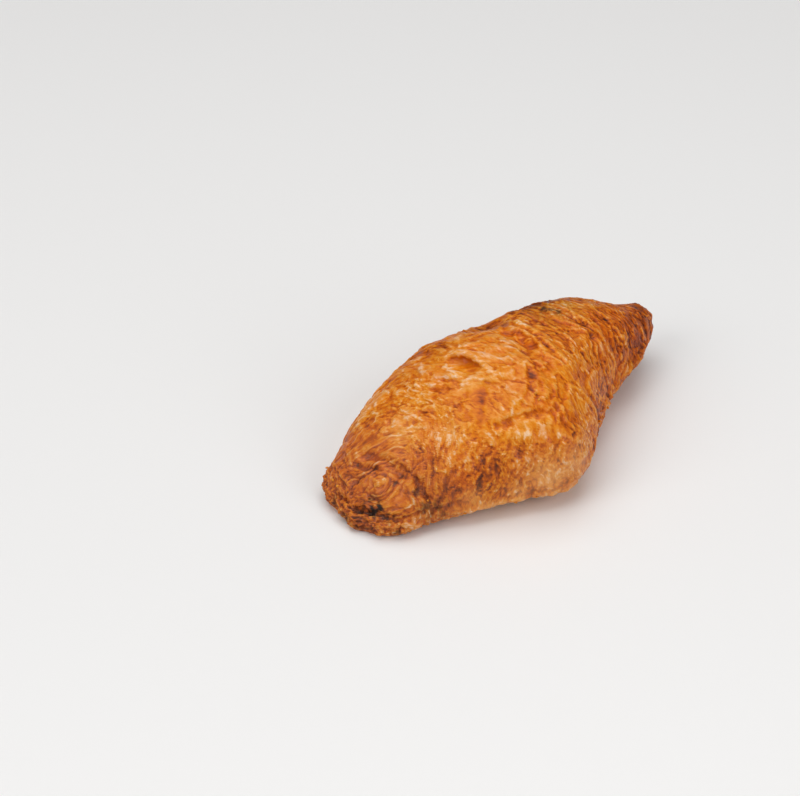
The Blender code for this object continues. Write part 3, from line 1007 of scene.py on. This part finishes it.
grain = add(tree, "ShaderNodeMath", {0: threads(0.8, 1.5, detail=3.0), 1: 0.5},
            operation="SUBTRACT").outputs[0]
wrinkle = add(tree, "ShaderNodeMath", {0: threads(1.2, 3.8, detail=2.0), 1: 0.5},
              operation="SUBTRACT").outputs[0]
folded = add(tree, "ShaderNodeMath", {0: wrinkle}, operation="ABSOLUTE").outputs[0]
# The crests of the finest wrinkles are lightened in the colour too, a painted sheen, besides their
# bump.
crest = add(tree, "ShaderNodeMapRange", {"Value": folded, "From Min": 0.10, "From Max": 0.0},
            interpolation_type="SMOOTHSTEP").outputs[0]

# %% Flecks and scraps: across, length, detail, shift, where a patch starts and is full, weight
FLECKS = {
    "pale flecks": (1.4, 2.7, 4.0, 7.0, 0.55, 0.60, 0.12),
    "dark flecks": (1.6, 2.8, 4.0, 23.0, 0.55, 0.61, -0.12),
    "pale scraps": (4.2, 6.5, 5.0, 41.0, 0.52, 0.57, 0.06),
    "dark scraps": (3.8, 6.5, 5.0, 67.0, 0.54, 0.59, -0.12),
}
# (crest, 0.08) paints a sheen on the crests of the finest wrinkles.
marks = [(grain, 0.30), (crest, 0.08)]
for name, (across, length, detail, shift, start, full, weight) in FLECKS.items():
    noise = threads(across, length, detail, shift)
    patch = add(tree, "ShaderNodeMapRange",
                {"Value": noise, "From Min": start, "From Max": full},
                interpolation_type="SMOOTHSTEP").outputs[0]
    marks.append((patch, weight))
    if name == "pale flecks":
        pale_fleck = patch
print("marks of the surface:", len(marks))

# %% Colour of the crust
skin = 0.0
for mark, weight in marks:
    skin = add(tree, "ShaderNodeMath", {0: mark, 1: weight, 2: skin},
               operation="MULTIPLY_ADD").outputs[0]
tone = add(tree, "ShaderNodeMath", {0: skin, 1: numbers["rough_skin"], 2: numbers["bake_tone"]},
           operation="MULTIPLY_ADD").outputs[0]
bake = add(tree, "ShaderNodeValToRGB", {"Fac": tone})
stops = bake.color_ramp.elements
for stop, (position, hex_colour) in enumerate(BAKE_TONES):
    element = stops[stop] if stop < 2 else stops.new(position)
    element.position = position
    element.color = linear(hex_colour)
colour = bake.outputs["Color"]
for name, most, hex_colour, way in TINTS:
    amount = add(tree, "ShaderNodeMath", {0: numbers[name], 1: most},
                 operation="MULTIPLY").outputs[0]
    colour = add(tree, "ShaderNodeMix", {"Factor": amount, "A": colour, "B": linear(hex_colour)},
                 data_type="RGBA", blend_type=way).outputs["Result"]
tree.links.new(colour, shader.inputs["Base Color"])
print("stops of the ramp:", len(stops))

# %% Bump, gloss and body
BUMP_DISTANCE = 0.00028  # metres, for what is finer than the grid
SURFACE = {
    "IOR": 1.42,
    "Specular IOR Level": 0.15,
    "Coat Weight": 0.16,
    "Coat Roughness": 0.10,
    "Subsurface Weight": 0.05,
    "Subsurface Radius": (1.0, 0.45, 0.15),
    "Subsurface Scale": 0.0015,
}
rise = grain
for mark, weight in ((pale_fleck, 0.6), (crest, 0.5)):
    rise = add(tree, "ShaderNodeMath", {0: mark, 1: weight, 2: rise},
               operation="MULTIPLY_ADD").outputs[0]
rise = add(tree, "ShaderNodeMath", {0: rise, 1: numbers["rough_skin"]},
           operation="MULTIPLY").outputs[0]
bump = add(tree, "ShaderNodeBump", {"Height": rise, "Distance": BUMP_DISTANCE, "Strength": 0.7})
tree.links.new(bump.outputs["Normal"], shader.inputs["Normal"])
gloss = add(tree, "ShaderNodeMath", {0: grain, 1: 0.5, 2: 0.40}, operation="MULTIPLY_ADD")
tree.links.new(gloss.outputs[0], shader.inputs["Roughness"])
for name, value in SURFACE.items():
    shader.inputs[name].default_value = value
crust_mesh.materials.append(pastry)
print("crust material:", len(tree.nodes), "nodes")

# %% [markdown]
# ## Shards of the layers
# Puff pastry sheds: thin shards stand up where a layer tore, mostly along the ragged far
# side. Flat cards would be sheets without an inside, so a shard is a small irregular leaf
# with a top, an underside and a curl, rooted in the crust. All are one joined mesh, spread
# with a fixed seed, because none matters by itself.

# %% One shard
SHARD_SIDES = 7
SHARD_THICKNESS = 0.25


def shard(at, length, lean, random):
    """One curled leaf rooted at a point of the crust: its points and faces."""
    up = skin_normals[at]
    side = np.cross(up, random.normal(size=3))
    side /= np.linalg.norm(side)
    out = np.cross(side, up) * math.cos(lean) + up * math.sin(lean)
    face_up = np.cross(out, side)
    angle = np.arange(SHARD_SIDES) / SHARD_SIDES * 2 * math.pi
    reach = random.uniform(0.65, 1.0, SHARD_SIDES)
    ahead = length * (0.5 * reach * np.cos(angle) + 0.32)
    across = length * random.uniform(0.25, 0.45) * reach * np.sin(angle)
    curl = random.uniform(-0.12, 0.25) * ahead**2 / length
    rim = np.outer(ahead, out) + np.outer(across, side) + np.outer(curl, face_up)
    top = skin_points[at] + np.vstack([rim, rim.mean(axis=0)])
    leaf = np.vstack([top, top - face_up * SHARD_THICKNESS])
    centre = SHARD_SIDES
    under = SHARD_SIDES + 1
    faces = []
    for one in range(SHARD_SIDES):
        two = (one + 1) % SHARD_SIDES
        faces.append((centre, one, two))
        faces.append((under + centre, under + two, under + one))
        faces.append((two, one, under + one, under + two))
    return leaf, faces


def joined(name, points, faces, tones, rough_skin):
    """One object in pastry from points in millimetres, with the numbers that it needs."""
    mesh = bpy.data.meshes.new(name)
    mesh.from_pydata(points * MM, [], faces)
    keep(mesh, "bake_tone", tones)
    keep(mesh, "rough_skin", np.full(len(points), rough_skin))
    keep_flow(mesh, points)
    mesh.materials.append(pastry)
    return new_object(name, mesh)


skin_points = points + SHIFT
skin_normals = read_vectors(crust_mesh.vertex_normals, "vector", COUNT)

# %% Shards along the torn edges: amount, spread, lengths, leans and path
SHARD_PLACES = (
    (16, 2.0, (0.9, 1.9), (15, 45), ((79, -39, 18), (90, -32, 16), (105, -23, 12), (141, -11, 18))),
    (8, 2.0, (0.8, 1.5), (10, 35), ((58, -47, 14), (64, -46, 21), (70, -41, 31))),
    (10, 2.0, (0.8, 1.6), (10, 35), ((30, 25, 22), (22, 24, 18), (14, 23, 13), (7, 21, 8))),
    (12, 2.0, (0.9, 1.8), (5, 25), ((19, -25, 5), (33, -31, 5), (42, -37, 6), (51, -42, 7))),
)
random = np.random.default_rng(21)
leaves = []
leaf_faces = []
leaf_roots = []
for amount, spread, lengths, leans, path in SHARD_PLACES:
    path = np.array(path, dtype=float)
    for _ in range(amount):
        leg = random.integers(len(path) - 1)
        spot = path[leg] + random.random() * (path[leg + 1] - path[leg])
        spot = spot + random.normal(0.0, spread / 2, 3)
        at = int(np.argmin(np.sum((form - spot) ** 2, axis=1)))
        length = random.uniform(*lengths)
        lean = math.radians(random.uniform(*leans))
        leaf, faces = shard(at, length, lean, random)
        first = sum(len(done) for done in leaves)
        leaf_faces += [tuple(first + corner for corner in face) for face in faces]
        leaf_roots += [at] * len(leaf)
        leaves.append(leaf)
leaf_points = np.vstack(leaves)
print("shards:", len(leaves), "of", 3 * SHARD_SIDES, "faces each")

# %% The flakes as one mesh
SHARD_LOWEST = 0.05  # no shard reaches into the table
SHARD_PALER = 0.06  # than the crust at its root
leaf_points[:, 2] = np.maximum(leaf_points[:, 2], SHARD_LOWEST)
leaf_tones = bake_tone[leaf_roots] + SHARD_PALER
loose_flakes = joined("flakes", leaf_points, leaf_faces, leaf_tones, rough_skin=0.5)
keep(loose_flakes.data, "sheen_haze", sheen_haze[leaf_roots])
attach(loose_flakes, "root")
print("flakes:", len(leaves), "with", len(leaf_faces), "faces")

# %% [markdown]
# ## Crumbs
# A few crumbs stick to the crust, at the toe and on the belly. A plain ball looks like a
# bead, so each is a ball made lumpy by noise, with rings and columns like the pie.

# %% One crumb
CRUMB_ROUNDS = 6
CRUMB_SIDES = 10


def crumb(centre, radius, random):
    """A small lumpy ball of baked dough, as rings and columns like the pie itself."""
    tilt = np.repeat(np.arange(1, CRUMB_ROUNDS) / CRUMB_ROUNDS * math.pi, CRUMB_SIDES)
    spin = np.tile(np.arange(CRUMB_SIDES) / CRUMB_SIDES * 2 * math.pi, CRUMB_ROUNDS - 1)
    round_it = np.column_stack([np.cos(spin), np.sin(spin)]) * np.sin(tilt)[:, None]
    ball = np.column_stack([-np.cos(tilt), round_it])
    ball = np.vstack([ball, (-1.0, 0.0, 0.0), (1.0, 0.0, 0.0)])
    lumps = 1.0 + 0.7 * gradient_noise(ball * 1.7 + random.uniform(0.0, 50.0, 3), 81)
    return centre + ball * lumps[:, None] * radius * random.uniform(0.7, 1.1, 3)


crumb_sides = loft_faces(CRUMB_ROUNDS - 1, CRUMB_SIDES)
print("faces of a crumb:", len(crumb_sides))

# %% Crumbs on the crust: place and radius
CRUMBS = (
    ((3, 14, 9), 0.45), ((2, 10, 9), 0.5), ((14, -21, 13), 0.45),
    ((59, -32, 39), 0.5), ((56, -31, 39), 0.55), ((57, -29, 40), 0.4),
)
CRUMB_LIFT = 0.2  # of the radius, above the crust
CRUMB_TONE = 0.72
crumb_balls = []
crumb_faces = []
for spot, radius in CRUMBS:
    at = int(np.argmin(np.sum((form - np.array(spot)) ** 2, axis=1)))
    first = sum(len(done) for done in crumb_balls)
    centre = skin_points[at] + CRUMB_LIFT * radius * skin_normals[at]
    crumb_balls.append(crumb(centre, radius, random))
    crumb_faces += [tuple(first + corner for corner in face) for face in crumb_sides]
crumb_points = np.vstack(crumb_balls)
crumb_tones = np.full(len(crumb_points), CRUMB_TONE)
crumbs = joined("crumbs", crumb_points, crumb_faces, crumb_tones, rough_skin=0.8)
crumbs.data.shade_smooth()
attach(crumbs, "root")
print("crumbs:", len(CRUMBS))

# %% [markdown]
# ## Floor
# The pie lies on pale glazed porcelain, which throws light back under its sides. A plate
# would be one more object, so a plain pale floor with the same soft gloss stands in for it.

# %% Floor
bpy.ops.mesh.primitive_plane_add(size=8.0, location=(0.0, 0.0, 0.0))
floor = bpy.context.object
floor.name = "floor"
glaze = bpy.data.materials.new("pale_glazed_floor")
glaze.use_nodes = True
glaze_shader = glaze.node_tree.nodes["Principled BSDF"]
glaze_shader.inputs["Base Color"].default_value = linear("#ebeae9")
glaze_shader.inputs["Roughness"].default_value = 0.35
glaze_shader.inputs["IOR"].default_value = 1.5
floor.data.materials.append(glaze)
print("floor:", tuple(round(side, 1) for side in floor.dimensions[:2]), "metres")

# %% [markdown]
# ## Light
# The light on the pie is soft and comes from large windows. A picture of a sky could give
# it, but area lights need no image and can be aimed: one over the far left, a weaker one at
# the right, and pale light from all round.

# %% Soft boxes: place, size in metres, and power in watts
SOFT_BOXES = {
    "key_box": ((0.15, 0.25, 1.5), 1.6, 16.0),
    "left_box": ((-1.3, 0.2, 1.0), 1.0, 9.0),
    "right_box": ((0.1, -1.3, 0.8), 1.0, 8.0),
}
LIT_POINT = (0.0, 0.0, 0.02)  # the middle of the pie
WORLD_STRENGTH = 0.22
for name, (place_at, size, power) in SOFT_BOXES.items():
    light = bpy.data.lights.new(name, "AREA")
    light.size = size
    light.energy = power
    box = new_object(name, light)
    box.location = place_at
    towards = Vector(LIT_POINT) - Vector(place_at)
    box.rotation_euler = towards.to_track_quat("-Z", "Y").to_euler()
world = bpy.data.worlds.new("studio")
world.use_nodes = True
sky = world.node_tree.nodes["Background"]
sky.inputs["Color"].default_value = (1.0, 1.0, 1.0, 1.0)
sky.inputs["Strength"].default_value = WORLD_STRENGTH
bpy.context.scene.world = world
bpy.context.scene.view_settings.view_transform = "Standard"
print("soft boxes:", len(SOFT_BOXES))

# %% [markdown]
# ## Camera
# A pie on a table is looked at from above and aslant. From straight above its height would
# be lost, and from the side its folds, so the camera looks down at about 35 degrees, from
# the side of the toe.

# %% Camera
CAMERA_TURN = -45.3  # degrees from looking along +Y
CAMERA_DOWN = 34.75  # degrees below level
CAMERA_AWAY = 0.75  # metres from the point that it looks at
CAMERA_VIEW = 21.7  # degrees across the picture's width
AIM = (-0.0203, 0.0391, 0.010)
down = math.radians(CAMERA_DOWN)
heading = math.radians(CAMERA_TURN)
level = math.cos(down)
look = Vector((-math.sin(heading) * level, math.cos(heading) * level, -math.sin(down)))
lens = bpy.data.cameras.new("camera")
lens.angle = math.radians(CAMERA_VIEW)
camera = new_object("camera", lens)
camera.location = Vector(AIM) - look * CAMERA_AWAY
camera.rotation_euler = (math.pi / 2 - down, 0.0, heading)
bpy.context.scene.camera = camera
print("camera:", tuple(round(value, 3) for value in camera.location))

# %% [markdown]
# ## The size
# The looks have to fill the solid's box.

# %% Finish
bpy.context.view_layer.update()
